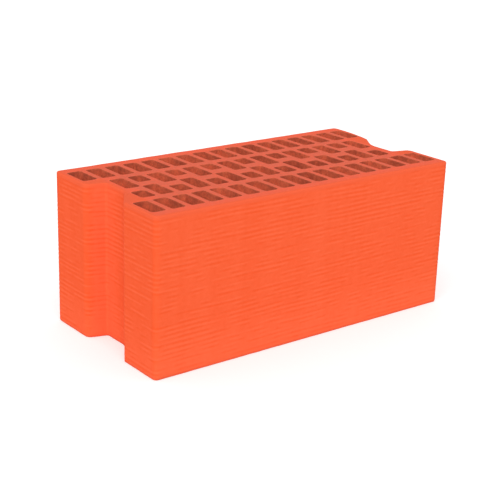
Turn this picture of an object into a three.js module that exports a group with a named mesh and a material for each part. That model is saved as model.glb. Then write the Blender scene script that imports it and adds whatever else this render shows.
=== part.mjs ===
// Large-format perforated clay block: one fired piece, extruded along its height and
// wire-cut top and bottom. The long faces are plain. Vertical slots run right through it
// in four rows, and each end has a full-height mortar pocket.
// Millimetres. +X along the length, +Z up, origin at the centre of the lower bed face.

import * as THREE from 'three';

// Block
const LENGTH = 510;
const DEPTH = 250;
const HEIGHT = 219;
const CORNER_RADIUS = 7;

// Mortar pocket: one flank is steep, and the other sweeps back to the end face. The two
// ends are the same, turned by half a turn, but for the shoulder beside the right end's
// swept flank, which is eased back from the end face in a shallow arc.
const POCKET_DEPTH = 28;
const STEEP_MOUTH_Y = -43.5;
const STEEP_ROOT_Y = -35.5;
const SWEPT_ROOT_Y = 8.5;
const SWEPT_MOUTH_Y = 52;
const STEEP_MOUTH_RADIUS = 10;
const STEEP_ROOT_RADIUS = 4;
const SWEPT_ROOT_RADIUS = 35;
const SWEPT_MOUTH_RADIUS = 5;
const EASED_DEPTH = 8;
const EASED_SHOULDER_Y = 70;
const EASED_SHOULDER_RADIUS = 225;

// Shells and webs
const END_SHELL = 8;
const SIDE_SHELL = 19;
const ROW_WEB = 14;

// Slots: two full outer rows, and two middle rows whose long and short slots interlock.
// The middle rows skip the first and last column, where the pockets are.
const SLOT_WIDTH = 21;
const SLOT_RADIUS = 3;
const OUTER_SLOT_LENGTH = 46;
const LONG_SLOT_LENGTH = 46;
const SHORT_SLOT_LENGTH = 28;
const COLUMNS = 17;
const FRONT_MIDDLE_SHIFT = -6;

const COLUMN_PITCH = (LENGTH - 2 * END_SHELL - SLOT_WIDTH) / (COLUMNS - 1);
const FIRST_COLUMN_X = -LENGTH / 2 + END_SHELL + SLOT_WIDTH / 2;
const OUTER_ROW_Y = DEPTH / 2 - SIDE_SHELL - OUTER_SLOT_LENGTH / 2;
const MIDDLE_BAND_EDGE_Y = OUTER_ROW_Y - OUTER_SLOT_LENGTH / 2 - ROW_WEB;

// Facets in each rounded corner are twice these numbers.
const OUTLINE_SEGMENTS = 2;
const SLOT_SEGMENTS = 1;

const CLAY_COLOUR = 0xfa6038;
const CLAY_ROUGHNESS = 0.92;

// Points of a closed outline of corners [x, y, radius], with an arc in place of each corner.
function roundedOutline(corners, segments) {
  const path = new THREE.Path();
  const point = (index) => new THREE.Vector2(...corners.at(index % corners.length));
  corners.forEach(([x, y, radius], index) => {
    const corner = new THREE.Vector2(x, y);
    const back = point(index - 1).sub(corner).normalize();
    const ahead = point(index + 1).sub(corner).normalize();
    const halfAngle = Math.acos(back.dot(ahead)) / 2;
    const towardsCentre = back.clone().add(ahead).normalize();
    const centre = towardsCentre.multiplyScalar(radius / Math.sin(halfAngle)).add(corner);
    const setback = radius / Math.tan(halfAngle);
    const start = back.multiplyScalar(setback).add(corner).sub(centre);
    const end = ahead.multiplyScalar(setback).add(corner).sub(centre);
    const clockwise = start.cross(end) < 0;
    path.absarc(centre.x, centre.y, radius, start.angle(), end.angle(), clockwise);
  });
  return path.getPoints(segments);
}

// Corners at the mouth of the swept flank: where an eased shoulder cuts the flank short,
// they are the edge left between the two and the middle of the shoulder's arc.
function sweptMouth(isEased) {
  const endX = LENGTH / 2;
  if (!isEased) {
    return [[endX, SWEPT_MOUTH_Y, SWEPT_MOUTH_RADIUS]];
  }
  const easedPart = EASED_DEPTH / POCKET_DEPTH;
  const mouthY = SWEPT_MOUTH_Y - easedPart * (SWEPT_MOUTH_Y - SWEPT_ROOT_Y);
  return [
    [endX - EASED_DEPTH, mouthY, SWEPT_MOUTH_RADIUS],
    [endX, EASED_SHOULDER_Y, EASED_SHOULDER_RADIUS],
  ];
}

// Corners [x, y, radius] of a right-hand end, from front to back.
function endCorners(isEased) {
  const endX = LENGTH / 2;
  const pocketX = endX - POCKET_DEPTH;
  return [
    [endX, -DEPTH / 2, CORNER_RADIUS],
    [endX, STEEP_MOUTH_Y, STEEP_MOUTH_RADIUS],
    [pocketX, STEEP_ROOT_Y, STEEP_ROOT_RADIUS],
    [pocketX, SWEPT_ROOT_Y, SWEPT_ROOT_RADIUS],
    ...sweptMouth(isEased),
    [endX, DEPTH / 2, CORNER_RADIUS],
  ];
}

function blockOutline() {
  const leftEnd = endCorners(false).map(([x, y, radius]) => [-x, -y, radius]);
  return new THREE.Shape(roundedOutline([...endCorners(true), ...leftEnd], OUTLINE_SEGMENTS));
}

function slot(centreX, centreY, length) {
  const left = centreX - SLOT_WIDTH / 2;
  const right = centreX + SLOT_WIDTH / 2;
  const front = centreY - length / 2;
  const back = centreY + length / 2;
  const corners = [[left, front], [right, front], [right, back], [left, back]];
  const rounded = corners.map(([x, y]) => [x, y, SLOT_RADIUS]);
  return new THREE.Path(roundedOutline(rounded, SLOT_SEGMENTS));
}

function outerColumn(x) {
  return [-OUTER_ROW_Y, OUTER_ROW_Y].map((y) => slot(x, y, OUTER_SLOT_LENGTH));
}

// A middle column pairs a long slot with a short one, and swaps them in the next column.
function middleColumn(x, isBackLong) {
  const backLength = isBackLong ? LONG_SLOT_LENGTH : SHORT_SLOT_LENGTH;
  const frontLength = isBackLong ? SHORT_SLOT_LENGTH : LONG_SLOT_LENGTH;
  return [
    slot(x, MIDDLE_BAND_EDGE_Y - backLength / 2, backLength),
    slot(x + FRONT_MIDDLE_SHIFT, -MIDDLE_BAND_EDGE_Y + frontLength / 2, frontLength),
  ];
}

function allSlots() {
  const slots = [];
  for (let column = 0; column < COLUMNS; column += 1) {
    const x = FIRST_COLUMN_X + column * COLUMN_PITCH;
    slots.push(...outerColumn(x));
    const isEndColumn = column === 0 || column === COLUMNS - 1;
    if (!isEndColumn) {
      slots.push(...middleColumn(x, column % 2 === 1));
    }
  }
  return slots;
}

function clayBlock() {
  const outline = blockOutline();
  outline.holes.push(...allSlots());
  const geometry = new THREE.ExtrudeGeometry(outline, {
    depth: HEIGHT,
    steps: 1,
    bevelEnabled: false,
  });
  const material = new THREE.MeshStandardMaterial({
    color: CLAY_COLOUR,
    roughness: CLAY_ROUGHNESS,
    metalness: 0,
  });
  const mesh = new THREE.Mesh(geometry, material);
  mesh.name = 'clay_block';
  return mesh;
}

const group = new THREE.Group();
group.add(clayBlock());

export default group;
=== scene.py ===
import math
from collections import namedtuple
from itertools import pairwise

import bmesh
import bpy
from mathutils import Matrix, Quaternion, Vector, noise
from mathutils.geometry import delaunay_2d_cdt


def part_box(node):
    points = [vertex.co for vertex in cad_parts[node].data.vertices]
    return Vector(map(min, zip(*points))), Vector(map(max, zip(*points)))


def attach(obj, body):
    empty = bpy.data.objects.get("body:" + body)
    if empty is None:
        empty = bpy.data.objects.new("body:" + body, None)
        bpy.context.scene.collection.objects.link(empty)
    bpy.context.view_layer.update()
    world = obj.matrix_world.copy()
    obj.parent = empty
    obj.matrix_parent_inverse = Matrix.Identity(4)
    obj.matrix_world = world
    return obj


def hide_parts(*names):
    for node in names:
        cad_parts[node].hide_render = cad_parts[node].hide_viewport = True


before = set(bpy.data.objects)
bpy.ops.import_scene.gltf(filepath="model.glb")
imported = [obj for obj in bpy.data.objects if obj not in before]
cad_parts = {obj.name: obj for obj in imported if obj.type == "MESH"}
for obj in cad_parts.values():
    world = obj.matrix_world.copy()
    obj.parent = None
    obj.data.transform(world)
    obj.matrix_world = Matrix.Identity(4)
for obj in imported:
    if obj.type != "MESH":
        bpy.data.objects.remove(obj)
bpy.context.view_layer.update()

NODE = "clay_block"
BLOCK_LOW, BLOCK_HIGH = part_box(NODE)
HEIGHT = BLOCK_HIGH.z
MM = 0.001
WELD = 0.01 * MM

# The two beds, and the numbers of the three materials
LOWER, UPPER = 0, 1
FACE, BED, SLOT = 0, 1, 2

# Camera: degrees round the block and metres, on a 36 mm sensor
CAMERA_AZIMUTH = -38.21
CAMERA_ELEVATION = 18.91
CAMERA_ROLL = 1.80
CAMERA_DISTANCE = 1.7195
CAMERA_TARGET = Vector((-0.0093, 0.0007, 0.0951))
CAMERA_LENS = 85.98

# Light: a level of 1 shows a colour as it is written. Angles are in degrees, and the floor in metres.
SKY_LEVEL = 0.7
KEY_LEVEL = 0.48
KEY_AZIMUTH = -44
KEY_ELEVATION = 33
KEY_SPREAD = 70
FLOOR_SIZE = 60
FLOOR_SHADE = 0.8
FLOOR_GLOW = 0.38

# Mesh spacing
OUTLINE_STEP = 6 * MM
ROW_STEP = 1.5 * MM
SLOT_STEP = 9 * MM
SLOT_ROWS = [d * MM for d in (2, 4.5, 8, 13, 20, 30, 45, 70)]
BED_STEP = 4.4 * MM
BED_JITTER = 0.2
BED_CLEARANCE = 2 * MM

# For delaunay_2d_cdt: its output type for triangles with the holes left out, and its tolerance
TRIANGLES_ROUND_HOLES = 2
TRIANGLE_TOLERANCE = 1e-8

# Edges and relief
OUTER_ARRIS = 2.2 * MM
SLOT_ARRIS = 0.6 * MM
ARRIS_STEPS = 4
ARRIS_WEAR = 0.35
CHATTER_PITCH = 6.4 * MM
CHATTER_DEPTH = 0.35 * MM
CHATTER_WANDER = 0.22
DASH_GROUPING = 0.5
DASH_FADE = (-0.3, 0.25)
STREAK_DEPTH = 0.12 * MM
WAVINESS = 0.35 * MM
SLOT_WAVINESS = 0.45 * MM
SLOT_TEARING = 0.35
BED_RELIEF = 0.3 * MM
BED_SWELL = 0.3
BED_DRAG = 0.2

# Noise patterns: a number that sets each apart, and its wavelengths on the three axes. The last four
# are read at a height of 0, so their third doesn't matter. PATTERN_SHIFT is how many wavelengths lie
# between the patterns of two numbers that follow each other.
PATTERN_SHIFT = (17.3, -9.1, 5.7)
Pattern = namedtuple("Pattern", "number x y z", defaults=[1])
WANDER = Pattern(1, 0.07, 0.07, 0.018)
DASHES = Pattern(2, 0.021, 0.021, 0.007)
STREAKS = Pattern(3, 0.011, 0.011, 0.3)
WAVES = Pattern(4, 0.11, 0.11, 0.09)
SLOT_BULGES = Pattern(5, 0.016, 0.016, 0.06)
SLOT_TEARS = Pattern(6, 0.004, 0.004, 0.006)
DASH_GROUPS = Pattern(7, 0.06, 0.06, 0.03)
SLOT_PATCHES = Pattern(8, 0.03, 0.03, 0.05)
SLOT_SCUFFS = Pattern(9, 0.003, 0.003, 0.03)
BED_SWELLS = Pattern(20, 0.08, 0.08)
BED_DRAGS = Pattern(22, 0.006, 0.05)
BED_PATCHES = Pattern(24, 0.02, 0.02)
ARRIS_CHIPS = Pattern(26, 0.02, 0.02)

# Tones of the outer faces, from 0 at a clay's palest to 1 at its darkest. A fade is the stretch
# over which a tone comes in.
FACE_TONE = 0.38
GROOVE_TONE = 0.9
END_GROOVE_TONE = 0.2
STREAK_TONE = 0.3
# Painted shade: the end faces and the upright corners are darker than the front and back.
END_PAINTED_SHADE = 0.2
END_FADE = (2 * MM, 8 * MM)
CORNER_PAINTED_SHADE = 0.2
CORNER_FADE = (9 * MM, 5 * MM)
# Painted light: the faces are paler towards the floor.
FOOT_PAINTED_LIGHT = -0.42
FOOT_HEIGHT = 80 * MM
# Painted light on the steep flank of each mortar pocket, and painted shade darker past it.
STEEP_FLANK_PAINTED_LIGHT = -0.67
PAST_STEEP_FLANK_PAINTED_SHADE = 0.75
PAST_STEEP_FLANK = (-35 * MM, 5 * MM)

# Tones of the slots and the beds, on the same scale. In the slots the tone is painted shade at the mouths
# and painted light deeper in.
SLOT_MOUTH_PAINTED_SHADE = 0.8
SLOT_INSIDE_PAINTED_LIGHT = -0.42
SLOT_INSIDE = (1 * MM, 9 * MM)
SLOT_PATCH_TONE = 0.45
SLOT_SCUFF_TONE = 0.25
BED_TONE = 0.05
WEB_TONE = 0.7
WEB_FADE = (10 * MM, 28 * MM)
BED_DRAG_TONE = 0.25
BED_PATCH_TONE = 0.15

# Mortar pockets: how deep they are, how far they reach from the middle of the thickness, and where
# their painted light and shade come in
POCKET_DEPTH = 28 * MM
POCKET_REACH = 60 * MM
POCKET_FADE = (2 * MM, 14 * MM)

# Clays: two linear colours, the grain's scale on each axis (at 0.2 it is stretched five times), the
# span over which the mottle shifts the tone, and how deep the grain is
Clay = namedtuple("Clay", "name palest darkest grain_scale mottling grain_depth")
FACE_CLAY = Clay("clay_face", (0.980, 0.147, 0.0545), (0.910, 0.101, 0.0255), (1, 1, 1), 0.8, 0.25 * MM)
BED_CLAY = Clay("clay_cut", (0.930, 0.128, 0.060), (0.740, 0.136, 0.075), (1, 0.2, 1), 2.2, 0.6 * MM)
# The slot clay is darker than the face clay: painted shade inside the slots.
SHADED_SLOT_CLAY = Clay("clay_slot_painted_shade", (0.90, 0.185, 0.085), (0.44, 0.085, 0.042), (1, 1, 0.1), 1.6, 0.4 * MM)
MOTTLE = {"Scale": 160, "Detail": 4, "Roughness": 0.7}
GRAIN = {"Scale": 700, "Detail": 3, "Roughness": 0.6}
GRAIN_BUMP = 0.35
ROUGHNESS = {"To Min": 0.86, "To Max": 0.98}
SPECULAR = 0.15

# The colour that the outer faces and the beds share at their edges, and how far it reaches
EDGE_CLAY = (0.89, 0.122, 0.046)
EDGE_REACH = 9 * MM

# What a wall is made with: its material's number, its arris, and its relief, tone and edge value
Skin = namedtuple("Skin", "material arris relief tone edge")


def noise_at(pattern, x, y, z=0, side=LOWER):
    """Smooth noise from -1 to 1. The upper side takes the number after the pattern's own."""
    number = pattern.number + side
    scaled = (x / pattern.x, y / pattern.y, z / pattern.z)
    return noise.noise(Vector([a + number * shift for a, shift in zip(scaled, PATTERN_SHIFT)]))


def smoothstep(low, high, value):
    """0 at low, 1 at high and a smooth step between them. Low may be the larger."""
    t = min(1, max(0, (value - low) / (high - low)))
    return t * t * (3 - 2 * t)


def zero_to_one(value):
    """A value from -1 to 1, brought to the range from 0 to 1."""
    return 0.5 + 0.5 * value


# Outlines ---------------------------------------------------------------------


def signed_area(loop):
    """The area inside the loop, positive where it runs anticlockwise."""
    return sum(a.x * b.y - b.x * a.y for a, b in pairwise([*loop, loop[0]])) / 2


def turned(loop, sense):
    """The loop, run anticlockwise for a sense of 1 and clockwise for -1."""
    return loop if signed_area(loop) * sense > 0 else loop[::-1]


def rim_neighbours(mesh):
    """For each point where a wall meets the upper bed face, the points next to it on its rim."""
    top = max(v.co.z for v in mesh.verts)
    neighbours = {}
    for edge in mesh.edges:
        on_top = all(top - v.co.z < WELD for v in edge.verts)
        on_wall = any(abs(f.normal.z) < 0.5 for f in edge.link_faces)
        if on_top and on_wall:
            a, b = edge.verts
            neighbours.setdefault(a, []).append(b)
            neighbours.setdefault(b, []).append(a)
    return neighbours


def rim_loops(node):
    """The loops where the walls meet the upper bed face, largest first, each with the clay on its left."""
    mesh = bmesh.new()
    mesh.from_mesh(node.data)
    bmesh.ops.remove_doubles(mesh, verts=mesh.verts, dist=WELD)
    neighbours = rim_neighbours(mesh)
    loops = []
    while neighbours:
        start = next(iter(neighbours))
        loop, here = [], start
        while here in neighbours:
            loop.append(here.co.xy.copy())
            onward = neighbours.pop(here)
            here = next((v for v in onward if v in neighbours), start)
        loops.append(loop)
    mesh.free()
    outer, *holes = sorted(loops, key=lambda loop: -abs(signed_area(loop)))
    return [turned(outer, 1), *(turned(hole, -1) for hole in holes)]


def resampled(loop, step):
    """The loop with its long straight edges cut into equal parts."""
    points = []
    for a, b in pairwise([*loop, loop[0]]):
        parts = max(1, round((b - a).length / step))
        points += [a.lerp(b, k / parts) for k in range(parts)]
    return points


def normals_into_clay(loop):
    """At each point, the unit vector square to the loop on its left side."""
    count = len(loop)
    normals = []
    for i, here in enumerate(loop):
        along = (here - loop[i - 1]).normalized() + (loop[(i + 1) % count] - here).normalized()
        normals.append(Vector((-along.y, along.x)).normalized())
    return normals


# Places -----------------------------------------------------------------------


def from_bed(z):
    """How far a height is from the nearer bed."""
    return min(z, HEIGHT - z)


def in_pocket(x, y):
    """0 on the flat outer faces, and up to 1 deep in a mortar pocket."""
    return smoothstep(*POCKET_FADE, BLOCK_HIGH.x - abs(x)) if abs(y) < POCKET_REACH else 0


def distance_in(x, y):
    """About how far a place lies inside the outer faces."""
    end = BLOCK_HIGH.x - (POCKET_DEPTH if abs(y) < POCKET_REACH else 0)
    return min(BLOCK_HIGH.y - abs(y), end - abs(x))


# Relief -----------------------------------------------------------------------


def chatter(x, y, z):
    """Level grooves in broken dashes: 0 on a ridge, 1 at the bottom of a groove and 0.5 between dashes."""
    wander = CHATTER_WANDER * noise_at(WANDER, x, y, z)
    groove = math.sin(2 * math.pi * (z / CHATTER_PITCH + wander))
    dashes = noise_at(DASHES, x, y, z) + DASH_GROUPING * noise_at(DASH_GROUPS, x, y, z)
    return zero_to_one(groove * smoothstep(*DASH_FADE, dashes))


def streaks(x, y, z):
    """Faint upright bands from 0 to 1."""
    return zero_to_one(noise_at(STREAKS, x, y, z))


def face_relief(x, y, z):
    """How far the outer face lies inside its flat."""
    waves = zero_to_one(noise_at(WAVES, x, y, z))
    return CHATTER_DEPTH * chatter(x, y, z) + STREAK_DEPTH * streaks(x, y, z) + WAVINESS * waves


def slot_relief(x, y, z):
    """How far a slot's wall leans into the clay, negative where it leans into the slot."""
    return SLOT_WAVINESS * (noise_at(SLOT_BULGES, x, y, z) + SLOT_TEARING * noise_at(SLOT_TEARS, x, y, z))


def bed_relief(x, y, side):
    """How far a wire-cut bed face lies inside its flat."""
    swell = noise_at(BED_SWELLS, x, y, side=side)
    drag = noise_at(BED_DRAGS, x, y, side=side)
    return BED_RELIEF * (0.5 + BED_SWELL * swell + BED_DRAG * drag)


def arris_radius(x, y, side, middle):
    """The radius of a worn edge, which varies about its middle value."""
    return middle * (1 + ARRIS_WEAR * noise_at(ARRIS_CHIPS, x, y, side=side))


# Tones ------------------------------------------------------------------------


def face_tone(x, y, z):
    """Dark in the grooves; painted shade darker on the ends, on the corners and in the pockets past the
    steep flanks; painted light paler near the floor and on the steep flanks.
    """
    end = smoothstep(*END_FADE, BLOCK_HIGH.y - abs(y))
    grooves = (GROOVE_TONE + END_GROOVE_TONE * end) * (chatter(x, y, z) - 0.5)
    past_steep_flank = smoothstep(*PAST_STEEP_FLANK, math.copysign(y, x * y))
    # Painted light on the steep flank of each pocket, and painted shade past it.
    pocket = in_pocket(x, y) * (STEEP_FLANK_PAINTED_LIGHT + PAST_STEEP_FLANK_PAINTED_SHADE * past_steep_flank)
    # Painted shade round the upright corners.
    corner = smoothstep(*CORNER_FADE, BLOCK_HIGH.x - abs(x) + BLOCK_HIGH.y - abs(y))
    # Painted light, paler towards the floor.
    foot = smoothstep(FOOT_HEIGHT, 0, z)
    place = END_PAINTED_SHADE * end + pocket + CORNER_PAINTED_SHADE * corner + FOOT_PAINTED_LIGHT * foot
    return FACE_TONE + place + grooves + STREAK_TONE * streaks(x, y, z)


def face_edge(x, y, z):
    """1 at the beds and 0 away from them."""
    return smoothstep(EDGE_REACH, 0, from_bed(z))


def slot_patches_and_painted_shading(x, y, z):
    """Painted shade darkest at the mouths and painted light paler deeper in, with random patches and
    scuffs.
    """
    inside = smoothstep(*SLOT_INSIDE, from_bed(z))
    patch = SLOT_PATCH_TONE * noise_at(SLOT_PATCHES, x, y, z)
    scuff = SLOT_SCUFF_TONE * noise_at(SLOT_SCUFFS, x, y, z)
    return SLOT_MOUTH_PAINTED_SHADE + SLOT_INSIDE_PAINTED_LIGHT * inside + patch + scuff


def slot_edge(x, y, z):
    """0, because the slots keep their colour, painted shade and all, up to their mouths."""
    return 0


def bed_tone(x, y, side):
    """Brighter round the outer shells, and duller over the webs inside them."""
    web = smoothstep(*WEB_FADE, distance_in(x, y))
    drag = BED_DRAG_TONE * noise_at(BED_DRAGS, x, y, side=side)
    patch = BED_PATCH_TONE * noise_at(BED_PATCHES, x, y)
    return BED_TONE + WEB_TONE * web + drag + patch


def bed_edge(x, y):
    """1 at the outer faces and 0 away from them."""
    return smoothstep(EDGE_REACH, 0, distance_in(x, y))


# Mesh -------------------------------------------------------------------------


class Surface:
    """Points with their tones and edge values, and faces with their material numbers, for one mesh."""

    def __init__(self):
        self.points = []
        self.tones = []
        self.edges = []
        self.faces = []
        self.materials = []

    def add_point(self, place, tone, edge):
        self.points.append(place)
        self.tones.append(tone)
        self.edges.append(edge)
        return len(self.points) - 1

    def add_face(self, corners, material):
        self.faces.append(corners)
        self.materials.append(material)

    def mesh(self, name, materials):
        mesh = bpy.data.meshes.new(name)
        mesh.from_pydata(self.points, [], self.faces)
        for material in materials:
            mesh.materials.append(material)
        mesh.polygons.foreach_set("material_index", self.materials)
        mesh.polygons.foreach_set("use_smooth", [True] * len(self.faces))
        tones = [min(1, max(0, tone)) for tone in self.tones]
        mesh.attributes.new("tone", "FLOAT", "POINT").data.foreach_set("value", tones)
        mesh.attributes.new("edge", "FLOAT", "POINT").data.foreach_set("value", self.edges)
        mesh.update()
        return mesh


def wall_rows(heights, x, y, arris):
    """Inset and height of each point up the wall at one place, round both arrises."""
    angles = [math.pi / 2 * k / ARRIS_STEPS for k in range(ARRIS_STEPS + 1)]
    low, high = (arris_radius(x, y, side, arris) for side in (LOWER, UPPER))
    bottom = bed_relief(x, y, LOWER)
    top = HEIGHT - bed_relief(x, y, UPPER)
    rows = [(low * (1 - math.sin(a)), bottom + low * (1 - math.cos(a))) for a in angles]
    rows += [(0, z) for z in heights]
    rows += [(high * (1 - math.sin(a)), top - high * (1 - math.cos(a))) for a in reversed(angles)]
    return rows


def add_wall(surface, loop, heights, skin):
    """A wall round the loop, from bed to bed. It returns the point numbers of its lower and upper rim."""
    columns = []
    for (x, y), normal in zip(loop, normals_into_clay(loop)):
        column = []
        for inset, z in wall_rows(heights, x, y, skin.arris):
            shift = normal * (inset + skin.relief(x, y, z))
            place = (x + shift.x, y + shift.y, z)
            column.append(surface.add_point(place, skin.tone(x, y, z), skin.edge(x, y, z)))
        columns.append(column)
    for left, right in pairwise([*columns, columns[0]]):
        for (a, d), (b, c) in zip(pairwise(left), pairwise(right)):
            surface.add_face((a, b, c, d), skin.material)
    return [column[0] for column in columns], [column[-1] for column in columns]


def inside_clay(place, outlines):
    """Whether a line from the place to one side crosses the outlines an odd number of times."""
    inside = False
    for outline in outlines:
        for a, b in pairwise([*outline, outline[0]]):
            if (a.y > place.y) != (b.y > place.y):
                if place.x < a.x + (place.y - a.y) / (b.y - a.y) * (b.x - a.x):
                    inside = not inside
    return inside


def near_rims(outlines, reach):
    """A test for whether a place is within reach of any rim, taken as points along it."""
    cells = {}
    for outline in outlines:
        for a, b in pairwise([*outline, outline[0]]):
            parts = max(1, math.ceil(2 * (b - a).length / reach))
            for k in range(parts):
                p = a.lerp(b, k / parts)
                cells.setdefault((math.floor(p.x / reach), math.floor(p.y / reach)), []).append(p)

    def is_near(place):
        column, row = math.floor(place.x / reach), math.floor(place.y / reach)
        around = (cells.get((column + i, row + j), ()) for i in (-1, 0, 1) for j in (-1, 0, 1))
        return any((p - place).length < reach for cell in around for p in cell)

    return is_near


def bed_grid(outlines):
    """Places on a staggered grid in the clay, clear of every rim."""
    size = BLOCK_HIGH - BLOCK_LOW
    is_near = near_rims(outlines, BED_CLEARANCE)
    places = []
    for row in range(math.floor(size.y / BED_STEP)):
        stagger = 0.25 + 0.5 * (row % 2)
        for column in range(math.floor(size.x / BED_STEP)):
            jitter = BED_JITTER * noise.cell(Vector((row, column, 0.5)))
            shift = Vector((column + stagger + jitter, row + 0.5)) * BED_STEP
            place = BLOCK_LOW.xy + shift
            if not is_near(place) and inside_clay(place, outlines):
                places.append(place)
    return places


def add_bed(surface, rims, side):
    """The bed face between the outer rim and the slots' rims, given as lists of point numbers."""
    numbers = [n for rim in rims for n in rim]
    rim_places = [Vector(surface.points[n][:2]) for n in numbers]
    for n, (x, y) in zip(numbers, rim_places):
        surface.tones[n] = bed_tone(x, y, side)
    loops, first = [], 0
    for rim in rims:
        loops.append(list(range(first, first + len(rim))))
        first += len(rim)
    inner = bed_grid([[rim_places[i] for i in loop] for loop in loops])
    for x, y in inner:
        drop = bed_relief(x, y, side)
        place = (x, y, HEIGHT - drop if side == UPPER else drop)
        numbers.append(surface.add_point(place, bed_tone(x, y, side), bed_edge(x, y)))
    made = delaunay_2d_cdt(rim_places + inner, [], loops, TRIANGLES_ROUND_HOLES, TRIANGLE_TOLERANCE)
    triangles, origins = made[2], made[3]
    for triangle in triangles:
        corners = [numbers[origins[i][0]] for i in triangle]
        a, b, c = (Vector(surface.points[n][:2]) for n in corners)
        faces_up = (b - a).cross(c - a) > 0
        if faces_up != (side == UPPER):
            corners.reverse()
        surface.add_face(corners, BED)


def block_mesh(node, materials):
    outer, *slots = rim_loops(node)
    surface = Surface()
    margin = 2 * OUTER_ARRIS
    count = round((HEIGHT - 2 * margin) / ROW_STEP)
    heights = [margin + k * (HEIGHT - 2 * margin) / count for k in range(count + 1)]
    face = Skin(FACE, OUTER_ARRIS, face_relief, face_tone, face_edge)
    rims = [add_wall(surface, resampled(outer, OUTLINE_STEP), heights, face)]
    slot_heights = sorted({*SLOT_ROWS, *(HEIGHT - d for d in SLOT_ROWS)})
    # The slot walls carry painted shade in their clay and tone.
    shaded_slot_skin = Skin(SLOT, SLOT_ARRIS, slot_relief, slot_patches_and_painted_shading, slot_edge)
    for slot in slots:
        rims.append(add_wall(surface, resampled(slot, SLOT_STEP), slot_heights, shaded_slot_skin))
    for side in (LOWER, UPPER):
        add_bed(surface, [rim[side] for rim in rims], side)
    return surface.mesh("perforated_block", materials)


# Materials --------------------------------------------------------------------


class Nodes:
    """Short names for building the node tree of a material or a world."""

    def __init__(self, owner):
        owner.use_nodes = True
        self.tree = owner.node_tree
        self.tree.nodes.clear()

    def add(self, kind, values=(), **settings):
        node = self.tree.nodes.new(kind)
        for name, value in settings.items():
            setattr(node, name, value)
        for name, value in dict(values).items():
            if isinstance(value, bpy.types.NodeSocket):
                self.tree.links.new(value, node.inputs[name])
            else:
                node.inputs[name].default_value = value
        return node

    def maths(self, operation, *values, **settings):
        """The result of one operation on numbers and sockets."""
        node = self.add("ShaderNodeMath", enumerate(values), operation=operation, **settings)
        return node.outputs[0]

    def mixed(self, factor, start, end):
        """A colour between two others. A Mix node keeps its colours on inputs 6 and 7 and output 2."""
        return self.add("ShaderNodeMix", {0: factor, 6: start, 7: end}, data_type="RGBA").outputs[2]

    def mesh_value(self, name):
        """A value that the mesh holds for each point."""
        return self.add("ShaderNodeAttribute", attribute_name=name).outputs["Fac"]

    def noise_texture(self, place, look):
        return self.add("ShaderNodeTexNoise", {"Vector": place, **look}).outputs["Fac"]


def clay_material(clay):
    """Dry clay between two colours: the mesh's tone and a fine mottle choose between them.

    Where the mesh's edge value is high, it turns to the edge colour.
    """
    material = bpy.data.materials.new(clay.name)
    nodes = Nodes(material)
    place = nodes.add("ShaderNodeTexCoord").outputs["Object"]
    stretch = nodes.add("ShaderNodeMapping", {"Vector": place, "Scale": clay.grain_scale})
    grain = nodes.noise_texture(stretch.outputs["Vector"], GRAIN)
    mottle = nodes.noise_texture(place, MOTTLE)
    shift = nodes.maths("MULTIPLY_ADD", mottle, clay.mottling, -clay.mottling / 2)
    shade = nodes.maths("ADD", nodes.mesh_value("tone"), shift, use_clamp=True)
    tint = nodes.mixed(shade, (*clay.palest, 1), (*clay.darkest, 1))
    colour = nodes.mixed(nodes.mesh_value("edge"), tint, (*EDGE_CLAY, 1))
    relief = {"Height": grain, "Strength": GRAIN_BUMP, "Distance": clay.grain_depth}
    rough = nodes.add("ShaderNodeMapRange", {"Value": grain, **ROUGHNESS}).outputs["Result"]
    shader = nodes.add(
        "ShaderNodeBsdfPrincipled",
        {
            "Base Color": colour,
            "Roughness": rough,
            "Specular IOR Level": SPECULAR,
            "Normal": nodes.add("ShaderNodeBump", relief).outputs["Normal"],
        },
    )
    nodes.add("ShaderNodeOutputMaterial", {"Surface": shader.outputs["BSDF"]})
    return material


# Surroundings -----------------------------------------------------------------


def seen_directly(nodes):
    """1 for rays that show the background: camera, glossy and transmission rays."""
    path = nodes.add("ShaderNodeLightPath").outputs
    either = nodes.maths("MAXIMUM", path["Is Camera Ray"], path["Is Glossy Ray"])
    return nodes.maths("MAXIMUM", either, path["Is Transmission Ray"])


def make_floor():
    """A pale floor that takes the shadow. Where it is seen directly, a glow lifts it to the background."""
    mesh = bpy.data.meshes.new("floor")
    half = FLOOR_SIZE / 2
    corners = [(-half, -half, 0), (half, -half, 0), (half, half, 0), (-half, half, 0)]
    mesh.from_pydata(corners, [], [(0, 1, 2, 3)])
    floor = bpy.data.objects.new("floor", mesh)
    bpy.context.scene.collection.objects.link(floor)
    material = bpy.data.materials.new("floor")
    nodes = Nodes(material)
    glow = nodes.maths("MULTIPLY", seen_directly(nodes), FLOOR_GLOW)
    paper = nodes.add("ShaderNodeBsdfDiffuse", {"Color": (FLOOR_SHADE, FLOOR_SHADE, FLOOR_SHADE, 1)})
    lift = nodes.add("ShaderNodeEmission", {"Strength": glow})
    both = nodes.add("ShaderNodeAddShader", {0: paper.outputs[0], 1: lift.outputs[0]})
    nodes.add("ShaderNodeOutputMaterial", {"Surface": both.outputs[0]})
    mesh.materials.append(material)


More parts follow.
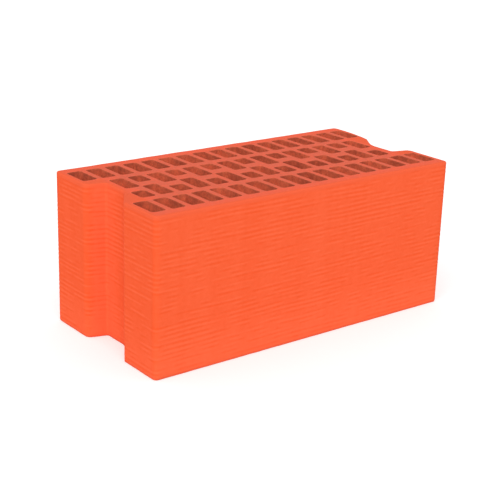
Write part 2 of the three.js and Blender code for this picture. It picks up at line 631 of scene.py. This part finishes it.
def direction(azimuth, elevation):
    """The unit vector that leaves the block at these angles in degrees. Azimuth 0 is the front, -Y."""
    a, e = math.radians(azimuth), math.radians(elevation)
    return Vector((math.sin(a) * math.cos(e), -math.cos(a) * math.cos(e), math.sin(e)))


def make_light():
    """A background that is white to look at and lights at SKY_LEVEL, and a wide sun from the front left."""
    world = bpy.data.worlds.new("studio")
    bpy.context.scene.world = world
    nodes = Nodes(world)
    levels = {"Value": seen_directly(nodes), "To Min": SKY_LEVEL, "To Max": 1}
    level = nodes.add("ShaderNodeMapRange", levels)
    sky = nodes.add("ShaderNodeBackground", {"Color": (1, 1, 1, 1), "Strength": level.outputs["Result"]})
    nodes.add("ShaderNodeOutputWorld", {"Surface": sky.outputs[0]})
    key = bpy.data.lights.new("key", "SUN")
    key.energy = KEY_LEVEL * math.pi
    key.angle = math.radians(KEY_SPREAD)
    lamp = bpy.data.objects.new("key", key)
    lamp.rotation_mode = "QUATERNION"
    lamp.rotation_quaternion = direction(KEY_AZIMUTH, KEY_ELEVATION).to_track_quat("Z", "Y")
    bpy.context.scene.collection.objects.link(lamp)


def make_camera():
    camera = bpy.data.objects.new("camera", bpy.data.cameras.new("camera"))
    camera.data.lens = CAMERA_LENS
    back = direction(CAMERA_AZIMUTH, CAMERA_ELEVATION)
    camera.location = CAMERA_TARGET + back * CAMERA_DISTANCE
    camera.rotation_mode = "QUATERNION"
    roll = Quaternion((0, 0, 1), math.radians(CAMERA_ROLL))
    camera.rotation_quaternion = (-back).to_track_quat("-Z", "Y") @ roll
    bpy.context.scene.collection.objects.link(camera)
    bpy.context.scene.camera = camera


def make_block():
    materials = [clay_material(clay) for clay in (FACE_CLAY, BED_CLAY, SHADED_SLOT_CLAY)]
    block = bpy.data.objects.new("perforated_block", block_mesh(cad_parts[NODE], materials))
    bpy.context.scene.collection.objects.link(block)
    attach(block, "root")
    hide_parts(NODE)


make_camera()
make_light()
make_floor()
make_block()
bpy.context.scene.view_settings.view_transform = "Standard"
